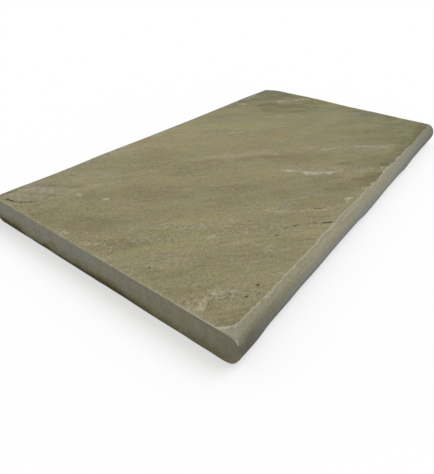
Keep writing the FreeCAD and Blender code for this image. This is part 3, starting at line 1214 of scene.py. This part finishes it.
@dataclass(frozen=True)
class StoneFinish:
    """Colours of the stone, as they show under plain light, and how rough its faces are.

    The ground face starts, shows its pale crest and its dull groove at distances past its border
    with the riven face. Stains and soiling, with painted shade towards the bed, fill the sawn ends
    between two heights.
    """

    olive: Colour = (138, 131, 100)
    olive_dark: Colour = (108, 101, 75)
    olive_pale: Colour = (162, 154, 124)
    lime: Colour = (143, 140, 96)
    far_tint: tuple[float, float, float, float] = (0.90, 0.945, 0.91, 1.0)
    golden: Colour = (150, 133, 98)
    grey: Colour = (143, 137, 117)
    ground: Colour = (147, 142, 118)
    ground_far: Colour = (145, 145, 128)
    ground_low: Colour = (137, 140, 136)
    ground_dull: Colour = (124, 121, 104)
    pale: Colour = (176, 168, 146)
    # Painted shade colour for the pits, clefts and flake foot, and for the dark specks of the broken
    # bands
    dark: Colour = (54, 48, 28)
    sawn: Colour = (159, 156, 140)
    sawn_pale: Colour = (170, 169, 158)
    # Pale rim colour: grinding streaks, the first end's shoulder, and the ends' top arris, where it is
    # partly a painted highlight
    rim: Colour = (168, 164, 147)
    sawn_dull: Colour = (154, 149, 127)
    # Olive staining, also used as painted shade towards the bed
    stain_and_shade: Colour = (128, 121, 83)
    # Soiling and painted contact shade along the bed
    soil_and_shade: Colour = (84, 77, 54)
    # Colour of soiling and painted shade: the noses, and the near side and top of the sawn ends
    grime_and_shade: Colour = (84, 81, 67)
    border_mm: tuple[float, float] = (-0.6, 0.1)
    crest_mm: tuple[float, float] = (1.2, 0.2)
    groove_start_mm: tuple[float, float] = (0.8, 1.3)
    groove_stop_mm: tuple[float, float] = (2.0, 1.5)
    # Heights of the staining and soiling, with painted shade, towards the bed
    stain_shade_band_m: tuple[float, float] = (0.0155, 0.0020)
    soil_shade_band_m: tuple[float, float] = (0.0062, 0.0025)
    roughness: float = 0.88
    specular: float = 0.25
    bump_strength: float = 0.6
    bump_m: float = 0.0007

    def material(self, grain: bpy.types.NodeTree, bands: bpy.types.NodeTree) -> bpy.types.Material:
        """Makes the stone's material: riven, ground and sawn faces told apart by the attributes.

        Args:
            grain: the sand grain group.
            bands: the bedding band group.

        Returns:
            The material.
        """
        material = bpy.data.materials.new("riven_sandstone")
        material.use_nodes = True
        sheet = NodeSheet(material.node_tree)
        place = sheet.add("ShaderNodeTexCoord").outputs["Object"]
        grains = sheet.add("ShaderNodeGroup", node_tree=grain)
        bedding = sheet.add("ShaderNodeGroup", node_tree=bands)
        for node in (grains, bedding):
            sheet.feed(node.inputs["Vector"], place)
        ragged = sheet.noise(place, 420.0, 4.0, 0.6)
        rough_band = sheet.attribute(Mark.ROUGH.value)
        colour = self.riven_colour(sheet, place, bedding, ragged)
        edge = sheet.math("MULTIPLY_ADD", ragged, 2.4, sheet.attribute("ground"))
        edge = sheet.math("MULTIPLY_ADD", sheet.noise(place, 95.0, 2.0), 1.7, edge)
        edge = sheet.math("MULTIPLY_ADD", sheet.noise(place, 42.0, 3.0, 0.6), 2.3, edge)
        ground = sheet.ease(edge, *self.border_mm)
        crest = sheet.math("MULTIPLY", ground, sheet.ease(edge, *self.crest_mm))
        groove = sheet.ease(edge, *self.groove_start_mm)
        groove = sheet.math("MULTIPLY", groove, sheet.ease(edge, *self.groove_stop_mm))
        standing = sheet.share(sheet.attribute("standing"), 0.40)
        colour = sheet.mix(standing, colour, linear(self.grey))
        colour = sheet.mix(ground, colour, self.ground_colour(sheet, place))
        along = sheet.add("ShaderNodeSeparateXYZ", {"Vector": place}).outputs["X"]
        fresh = sheet.math("MULTIPLY_ADD", sheet.ease(along, 0.18, 0.02), 0.16, 0.32)
        fresh = sheet.math("MULTIPLY_ADD", sheet.ease(along, -0.05, -0.12), 0.25, fresh)
        colour = sheet.mix(sheet.math("MULTIPLY", crest, fresh), colour, linear(self.pale))
        colour = sheet.mix(sheet.share(groove, 0.3), colour, linear(self.ground_dull))
        # Painted shade and soiling on the noses
        colour = sheet.mix(sheet.attribute("grime_and_shade"), colour, linear(self.grime_and_shade))
        colour = self.marked_colour(sheet, colour, place, ragged, rough_band)
        colour = self.sawn_colour(sheet, colour, place, ragged)
        strong = sheet.math("MULTIPLY_ADD", ground, -0.35, 0.85)
        lift = sheet.math("MULTIPLY_ADD", grains.outputs["Tone"], strong, 1.0)
        colour = sheet.mix(1.0, colour, lift, blend="MULTIPLY")
        facing = self.relief(sheet, place, grains.outputs["Height"], ground, rough_band)
        gloss = sheet.math("MULTIPLY_ADD", grains.outputs["Tone"], 0.15, self.roughness)
        shader = sheet.add(
            "ShaderNodeBsdfPrincipled",
            {
                "Base Color": colour,
                "Roughness": gloss,
                "Specular IOR Level": self.specular,
                "Normal": facing,
            },
        )
        output = sheet.add("ShaderNodeOutputMaterial")
        sheet.feed(output.inputs["Surface"], shader.outputs["BSDF"])
        return material

    def relief(
        self, sheet: NodeSheet, place: Socket, grain: Socket, ground: Socket, rough_band: Socket
    ) -> Socket:
        """Way the surface faces under its finest relief: strong where broken, weak where ground.

        Args:
            sheet: where to build.
            place: Object coordinates.
            grain: height of the sand grains.
            ground: share of ground face, which lies a step lower.
            rough_band: share of broken layers.

        Returns:
            The facing.
        """
        swell = sheet.noise(place, 130.0, 4.0, 0.6)
        coarse = sheet.math("MULTIPLY_ADD", swell, 1.6, grain)
        strength = sheet.math("MULTIPLY_ADD", ground, -0.6, sheet.math("ADD", rough_band, 1.0))
        step = sheet.math("MULTIPLY", ground, -0.7)
        height = sheet.math("MULTIPLY_ADD", coarse, strength, step)
        bump = sheet.add(
            "ShaderNodeBump",
            {"Strength": self.bump_strength, "Distance": self.bump_m, "Height": height},
        )
        return bump.outputs["Normal"]

    def riven_colour(
        self, sheet: NodeSheet, place: Socket, bedding: bpy.types.Node, ragged: Socket
    ) -> Socket:
        """Colour of the riven face: olive, with bands of tone and patches of other hues.

        Args:
            sheet: where to build.
            place: Object coordinates.
            bedding: the bedding band group's node.
            ragged: fine noise about 0 that breaks up edges.

        Returns:
            The colour.
        """
        mottle = sheet.noise(place, 50.0, 5.0, 0.75)
        fibre = bedding.outputs["Fibre"]
        broken = sheet.math("MULTIPLY_ADD", fibre, 2.4, 1.0)
        tone = sheet.math("MULTIPLY", sheet.attribute(Mark.TONE.value), broken)
        tone = sheet.math("MULTIPLY_ADD", bedding.outputs["Tone"], 0.9, tone)
        tone = sheet.math("MULTIPLY_ADD", mottle, 0.5, tone)
        tone = sheet.math("MULTIPLY_ADD", fibre, 1.2, tone)
        colour = sheet.mix(sheet.share(tone), linear(self.olive), linear(self.olive_pale))
        colour = sheet.mix(sheet.share(tone, -1.0), colour, linear(self.olive_dark))
        drift = sheet.math("MULTIPLY_ADD", ragged, 0.15, bedding.outputs["Drift"])
        green = sheet.math("MULTIPLY", sheet.attribute(Mark.GREEN.value), broken)
        lime = sheet.math("MULTIPLY_ADD", drift, 1.2, green)
        colour = sheet.mix(sheet.share(lime), colour, linear(self.lime))
        patchy = sheet.noise(place, 26.0, 4.0, 0.6)
        warm = sheet.math("MULTIPLY", sheet.attribute(Mark.WARMTH.value), broken)
        warmth = sheet.math("MULTIPLY_ADD", patchy, 1.3, warm)
        colour = sheet.mix(sheet.share(warmth, 0.8), colour, linear(self.golden))
        colour = sheet.mix(sheet.share(warmth, -0.8), colour, linear(self.grey))
        along = sheet.add("ShaderNodeSeparateXYZ", {"Vector": place}).outputs["X"]
        far = sheet.ease(sheet.math("MULTIPLY_ADD", patchy, 0.1, along), 0.0, 0.28)
        return sheet.mix(far, colour, self.far_tint, blend="MULTIPLY")

    def ground_colour(self, sheet: NodeSheet, place: Socket) -> Socket:
        """Colour of the ground rounds: streaked by the grinding, cooler far along and low.

        The shoulder by the first end is paler.

        Args:
            sheet: where to build.
            place: Object coordinates.

        Returns:
            The colour.
        """
        axes = sheet.add("ShaderNodeSeparateXYZ", {"Vector": place}).outputs
        blotch = sheet.noise(place, 45.0, 3.0, 0.5)
        streaky = sheet.stretched(place, (7.0, 330.0, 330.0), 3.0)
        low = sheet.ease(sheet.math("MULTIPLY_ADD", blotch, 0.012, axes["Z"]), 0.028, 0.015)
        far = sheet.ease(axes["X"], -0.06, 0.20)
        colour = sheet.mix(far, linear(self.ground), linear(self.ground_far))
        corner = sheet.math("MULTIPLY", sheet.ease(axes["X"], -0.278, -0.297), 0.35)
        corner = sheet.math("MULTIPLY", sheet.ease(axes["Z"], 0.022, 0.028), corner)
        colour = sheet.mix(corner, colour, linear(self.rim))
        colour = sheet.mix(low, colour, linear(self.ground_low))
        dull = sheet.math("MULTIPLY_ADD", streaky, 2.6, sheet.math("MULTIPLY", blotch, 1.2))
        colour = sheet.mix(sheet.share(dull), colour, linear(self.ground_dull))
        return sheet.mix(sheet.share(streaky, -1.6), colour, linear(self.rim))

    def marked_colour(
        self, sheet: NodeSheet, colour: Socket, place: Socket, ragged: Socket, rough_band: Socket
    ) -> Socket:
        """Colour with the broken bands and their painted specks of light and shade, the pale places,
        and the painted shade of the pits and clefts laid over it.

        Args:
            sheet: where to build.
            colour: the colour so far.
            place: Object coordinates.
            ragged: fine noise about 0 that breaks up edges.
            rough_band: share of broken layers.

        Returns:
            The colour.
        """
        # Pale and dark specks on the broken bands: the stone's own speckle, partly painted light and
        # shade of their fine relief
        speck = sheet.noise(place, 330.0, 3.0, 0.6)
        light = sheet.share(sheet.math("MULTIPLY", speck, rough_band), 2.2)
        shadow = sheet.share(sheet.math("MULTIPLY", speck, rough_band), -2.6)
        colour = sheet.mix(sheet.share(rough_band, 0.25), colour, linear(self.grey))
        colour = sheet.mix(light, colour, linear(self.pale))
        colour = sheet.mix(shadow, colour, linear(self.dark))
        pale = sheet.math("MULTIPLY_ADD", ragged, 1.5, sheet.attribute(Mark.PALE.value))
        colour = sheet.mix(sheet.ease(pale, 0.15, 1.3), colour, linear(self.pale))
        # Painted shade in the pits and clefts and at the foot of the flake
        dark = sheet.math("MULTIPLY_ADD", ragged, 0.5, sheet.attribute(Mark.DARK.value))
        return sheet.mix(sheet.ease(dark, 0.2, 0.9), colour, linear(self.dark))

    def sawn_colour(self, sheet: NodeSheet, colour: Socket, place: Socket, ragged: Socket) -> Socket:
        """Colour with the sawn ends: a pale upper arris with a painted highlight, painted shade on the
        near side and under the rim, stains with painted shade by the bed.

        Args:
            sheet: where to build.
            colour: the colour so far.
            place: Object coordinates.
            ragged: fine noise about 0 that breaks up edges.

        Returns:
            The colour.
        """
        axes = sheet.add("ShaderNodeSeparateXYZ", {"Vector": place}).outputs
        blotch = sheet.noise(place, 55.0, 4.0, 0.6)
        across = sheet.math("MULTIPLY_ADD", blotch, 0.12, axes["Y"])
        sawn = sheet.mix(sheet.ease(across, 0.05, -0.09), linear(self.sawn), linear(self.sawn_dull))
        weathered = sheet.stretched(place, (60.0, 110.0, 34.0), 3.0)
        sawn = sheet.mix(sheet.share(weathered, 1.3), sawn, linear(self.sawn_pale))
        sawn = sheet.mix(sheet.share(weathered, -1.3), sawn, linear(self.stain_and_shade))
        # Painted shade: darker towards the near corner, and a painted shadow line just under the top
        # arris
        near = sheet.math("MULTIPLY", sheet.ease(across, -0.11, -0.17), 0.28)
        under = sheet.ease(axes["Z"], 0.026, 0.030)
        under = sheet.math("MULTIPLY", under, sheet.ease(across, 0.03, -0.06))
        shaded = sheet.math("MULTIPLY_ADD", under, 0.12, near)
        sawn = sheet.mix(shaded, sawn, linear(self.grime_and_shade))
        # Darker towards the bed: stains and soiling, with painted shade where the floor hides the
        # light
        broad = sheet.noise(place, 17.0, 2.0, 0.5)
        level = sheet.math("MULTIPLY_ADD", broad, 0.014, axes["Z"])
        stain_shade_level = sheet.math("MULTIPLY_ADD", blotch, 0.024, level)
        spread = sheet.math("MULTIPLY_ADD", sheet.ease(axes["Y"], -0.15, -0.08), 0.45, 0.55)
        stain_and_shade = sheet.math("MULTIPLY", sheet.ease(stain_shade_level, *self.stain_shade_band_m), spread)
        sawn = sheet.mix(stain_and_shade, sawn, linear(self.stain_and_shade))
        soil_shade_level = sheet.math("MULTIPLY_ADD", blotch, 0.012, level)
        depth = sheet.math("MULTIPLY_ADD", sheet.ease(axes["Y"], -0.10, -0.03), 0.75, 0.15)
        soil_and_shade = sheet.math("MULTIPLY", sheet.ease(soil_shade_level, *self.soil_shade_band_m), depth)
        sawn = sheet.mix(soil_and_shade, sawn, linear(self.soil_and_shade))
        # Pale rim along the ends' top arris: chipped pale stone, and a painted highlight where the
        # arris turns up to the light
        arris = sheet.math("MULTIPLY_ADD", ragged, 1.6, sheet.attribute("arris"))
        upper = sheet.math("MULTIPLY", sheet.ease(axes["Z"], 0.024, 0.028), 0.38)
        upper = sheet.math("MULTIPLY", sheet.ease(axes["Y"], -0.160, -0.150), upper)
        rim = sheet.math("MULTIPLY", sheet.ease(arris, 0.3, 1.1), upper)
        colour = sheet.mix(rim, colour, linear(self.rim))
        return sheet.mix(sheet.attribute("sawn"), colour, sawn)


@dataclass(frozen=True)
class PhotoCamera:
    """Where the photograph was taken from, in the stone's frame: millimetres and degrees."""

    place: tuple[float, float, float] = (-469.3, -265.6, 260.6)
    heading_deg: float = 35.40
    pitch_deg: float = 35.25
    roll_deg: float = 2.29
    lens_mm: float = 30.59
    sensor_mm: float = 36.0

    def build(self) -> bpy.types.Object:
        """Makes the camera: its view turned from +X by the heading, down by the pitch, then rolled.

        Returns:
            The camera object, set as the scene's camera.
        """
        data = bpy.data.cameras.new("photo_camera")
        data.lens = self.lens_mm
        data.sensor_width = self.sensor_mm
        data.sensor_fit = "AUTO"
        data.clip_start = 0.01
        data.clip_end = 100.0
        camera = bpy.data.objects.new("photo_camera", data)
        turn = (
            Matrix.Rotation(math.radians(self.heading_deg - 90.0), 4, "Z")
            @ Matrix.Rotation(math.radians(90.0 - self.pitch_deg), 4, "X")
            @ Matrix.Rotation(math.radians(self.roll_deg), 4, "Z")
        )
        camera.matrix_world = Matrix.Translation(Vector(self.place) * MM) @ turn
        bpy.context.scene.collection.objects.link(camera)
        bpy.context.scene.camera = camera
        return camera


@dataclass(frozen=True)
class Studio:
    """Plain pale floor and soft light, at a level where a colour renders about as it is written."""

    floor_radius_m: float = 12.0
    floor_sides: int = 64
    floor_glow: float = 0.5
    floor_bounce: float = 0.4
    sky: float = 0.62
    key_from: tuple[float, float, float] = (3.0, -2.0, 5.2)
    key_spread_deg: float = 40.0
    key_strength: float = 1.45

    def build(self) -> None:
        """Makes the floor, the sky and the key light, and sets the plain view transform."""
        self.floor()
        self.sky_light()
        self.key_light()
        bpy.context.scene.view_settings.view_transform = "Standard"

    def seen(self, sheet: NodeSheet) -> Socket:
        """1 for rays that show the background itself, 0 for rays that only carry its light."""
        path = sheet.add("ShaderNodeLightPath").outputs
        direct = sheet.math("MAXIMUM", path["Is Camera Ray"], path["Is Glossy Ray"])
        return sheet.math("MAXIMUM", direct, path["Is Transmission Ray"])

    def floor(self) -> bpy.types.Object:
        """Makes the floor: a disc at bed level, white where it is seen and duller to bounced light."""
        turn = np.linspace(0.0, math.tau, self.floor_sides, endpoint=False)
        rim = np.stack([np.cos(turn), np.sin(turn), 0.0 * turn], axis=-1) * self.floor_radius_m
        mesh = bpy.data.meshes.new("floor")
        mesh.from_pydata(rim.tolist(), [], [list(range(len(rim)))])
        material = bpy.data.materials.new("floor_paper")
        material.use_nodes = True
        sheet = NodeSheet(material.node_tree)
        seen = self.seen(sheet)
        bounce = (self.floor_bounce,) * 3 + (1.0,)
        white = (1.0, 1.0, 1.0, 1.0)
        paper = sheet.add("ShaderNodeBsdfDiffuse", {"Color": sheet.mix(seen, bounce, white)})
        glow = sheet.add("ShaderNodeEmission", {"Color": white, "Strength": 1.0})
        both = sheet.add("ShaderNodeMixShader", {0: sheet.math("MULTIPLY", seen, self.floor_glow)})
        sheet.feed(both.inputs[1], paper.outputs["BSDF"])
        sheet.feed(both.inputs[2], glow.outputs["Emission"])
        output = sheet.add("ShaderNodeOutputMaterial")
        sheet.feed(output.inputs["Surface"], both.outputs["Shader"])
        mesh.materials.append(material)
        floor = bpy.data.objects.new("floor", mesh)
        bpy.context.scene.collection.objects.link(floor)
        return floor

    def sky_light(self) -> None:
        """Lights the scene evenly from all round, and shows white where the floor ends."""
        world = bpy.data.worlds.new("studio")
        world.use_nodes = True
        sheet = NodeSheet(world.node_tree)
        strength = sheet.math("MULTIPLY_ADD", self.seen(sheet), 1.0 - self.sky, self.sky)
        sky = sheet.add(
            "ShaderNodeBackground", {"Color": (1.0, 1.0, 1.0, 1.0), "Strength": strength}
        )
        output = sheet.add("ShaderNodeOutputWorld")
        sheet.feed(output.inputs["Surface"], sky.outputs["Background"])
        bpy.context.scene.world = world

    def key_light(self) -> bpy.types.Object:
        """Makes the soft key light, a broad sun from beyond the stone's second end."""
        data = bpy.data.lights.new("key", "SUN")
        data.angle = math.radians(self.key_spread_deg)
        data.energy = self.key_strength
        light = bpy.data.objects.new("key", data)
        light.rotation_mode = "QUATERNION"
        light.rotation_quaternion = (-Vector(self.key_from)).to_track_quat("-Z", "Y")
        bpy.context.scene.collection.objects.link(light)
        return light


def main() -> None:
    """Builds the stone, dresses it, and sets up the studio and the photograph's camera."""
    logging.basicConfig(level=logging.INFO, format="%(name)s: %(message)s")
    low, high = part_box(NODE)
    stone = CopingStone(length=(high.x - low.x) / MM, width=(high.y - low.y) / MM)
    piece = stone.build()
    finish = StoneFinish()
    piece.data.materials.append(
        finish.material(sand_grain_group(), bedding_group(stone.top.trend_deg))
    )
    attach(piece, BODY)
    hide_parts(NODE)
    log.info("dressed %s", piece.name)
    Studio().build()
    PhotoCamera().build()


if __name__ == "__main__":
    main()
